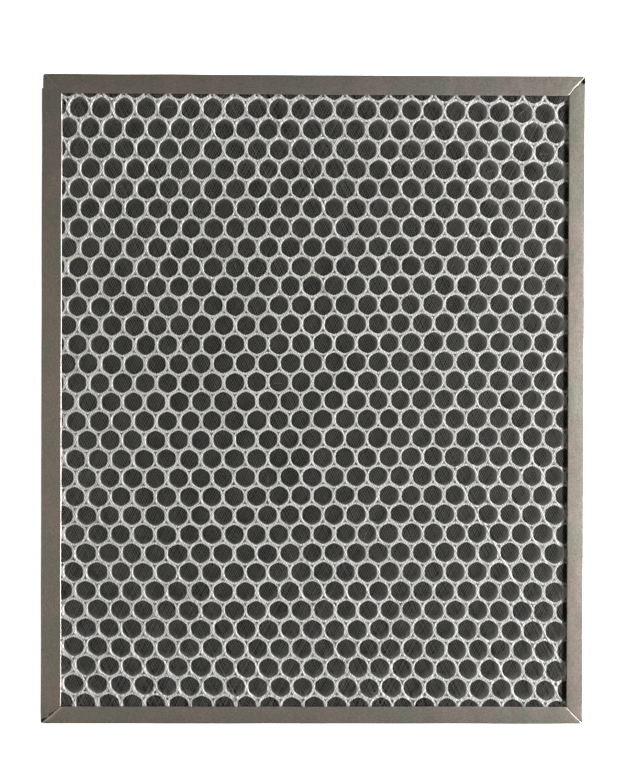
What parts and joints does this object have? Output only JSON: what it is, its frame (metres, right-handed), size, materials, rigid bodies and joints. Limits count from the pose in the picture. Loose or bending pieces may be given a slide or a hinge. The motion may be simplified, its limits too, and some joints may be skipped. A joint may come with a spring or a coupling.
{
  "type": "air purifier filter",
  "caption": "Flat framed filter: a white honeycomb core over dark carbon felt, between two fine nets, held in a folded aluminium channel.",
  "frame": {"origin": "middle of the frame's back face, in the plane the filter rests on", "axes": "+X across the width, +Y along the length to the end that is at the top of the picture, +Z out of the front face"},
  "size_m": [0.222, 0.265, 0.01],
  "materials": {
    "aluminium_strip": "mill, slightly dull",
    "net_yarn": "fine sheer net",
    "carbon_felt": "matt felt",
    "white_tube": "satin, off-white"
  },
  "bodies": {
    "root": {"frame": "aluminium_strip", "back_net": "net_yarn", "carbon_felt": "carbon_felt", "honeycomb_core": "white_tube", "front_net": "net_yarn"}
  },
  "joints": []
}
